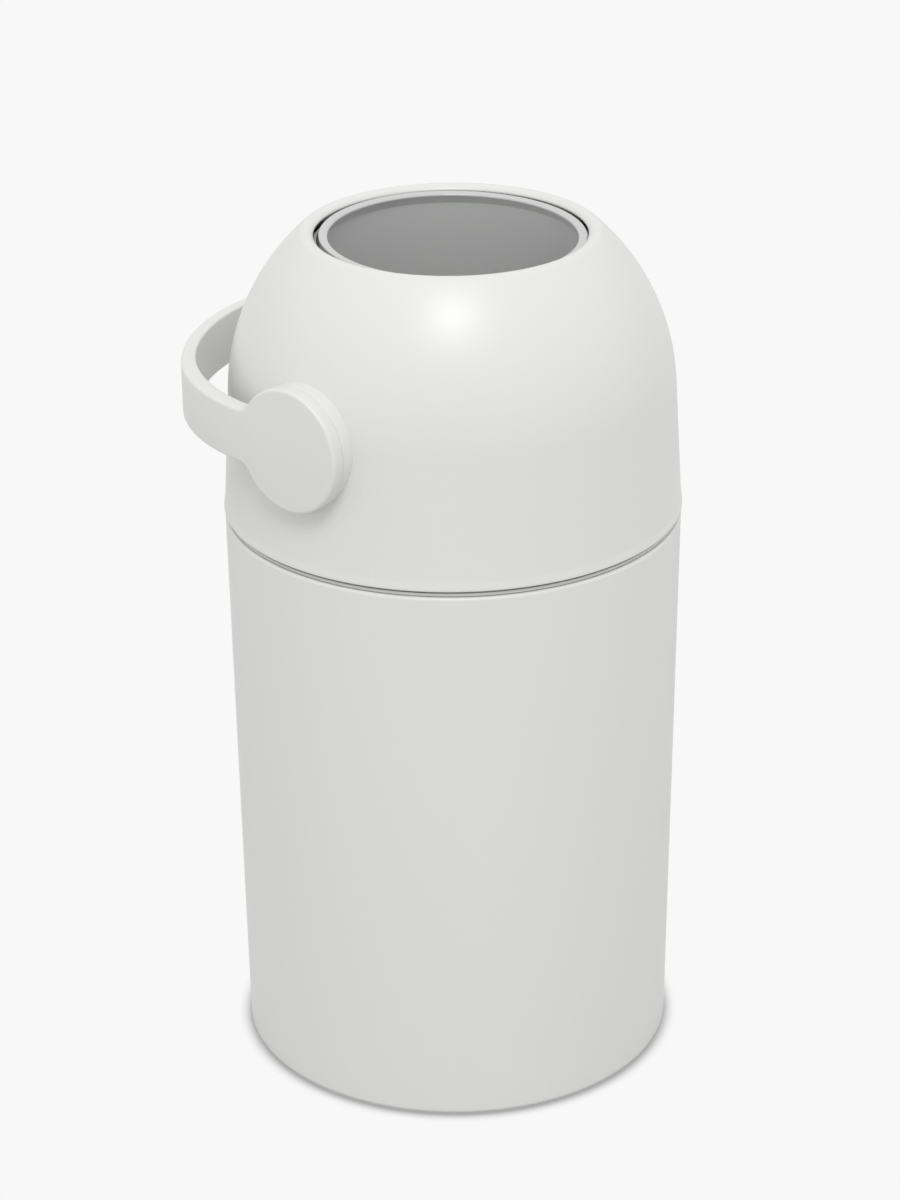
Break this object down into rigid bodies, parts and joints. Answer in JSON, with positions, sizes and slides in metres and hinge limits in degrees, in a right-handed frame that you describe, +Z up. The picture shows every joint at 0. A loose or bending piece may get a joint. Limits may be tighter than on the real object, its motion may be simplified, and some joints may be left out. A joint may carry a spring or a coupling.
{
  "type": "nappy bin",
  "caption": "Free-standing nappy bin with a lift-off dome and a ball drum that a bail handle turns over to drop its load into the bag below.",
  "frame": {"origin": "centre of the base, on the floor", "axes": "+Z up; X is the drum's pivot line; +Y is the side where the handle rests"},
  "size_m": [0.2742, 0.2854, 0.4983],
  "materials": {
    "shell": "fine satin moulded plastic, warm white",
    "handle": "satin moulded plastic, warm white",
    "rim": "smooth light grey plastic",
    "bore": "smooth mid grey plastic",
    "ring": "matt light grey plastic",
    "inner": "plain moulded plastic",
    "bush": "slick off-white bearing plastic",
    "seal": "soft grey sealing rubber",
    "screw": "zinc plated steel"
  },
  "bodies": {
    "base": {"bucket": "shell"},
    "ring": {"bag_ring": "ring"},
    "lid": {"dome": "shell", "cradle": "inner", "cradle_screws": "screw", "lid_gasket": "seal", "top_seal": "seal", "drop_seal": "seal", "pivot_bush_left": "bush", "pivot_bush_right": "bush"},
    "drum": {"ball_upper": "inner", "ball_lower": "inner", "ball_screws": "screw", "drum_tube": "bore", "mouth_rim_upper": "rim", "mouth_rim_lower": "rim", "hub_left": "bush", "hub_right": "bush", "hub_screws": "screw", "handle": "handle", "handle_screws": "screw"},
    "piston": {"piston_upper": "rim", "piston_lower": "rim", "piston_wiper": "seal", "piston_screws": "screw"}
  },
  "joints": [
    {"name": "ring_lift", "type": "slide", "parent": "base", "child": "ring", "axis": [0, 0, 1], "range_m": [0, 0.06]},
    {"name": "lid_lift", "type": "slide", "parent": "ring", "child": "lid", "axis": [0, 0, 1], "range_m": [0, 0.2]},
    {"name": "drum_turn", "type": "hinge", "parent": "lid", "child": "drum", "pos_m": [0, 0, 0.407], "axis": [1, 0, 0], "range_deg": [0, 180]},
    {"name": "piston_slide", "type": "slide", "parent": "drum", "child": "piston", "axis": [0, 0, 1], "range_m": [0, 0.1378]}
  ]
}
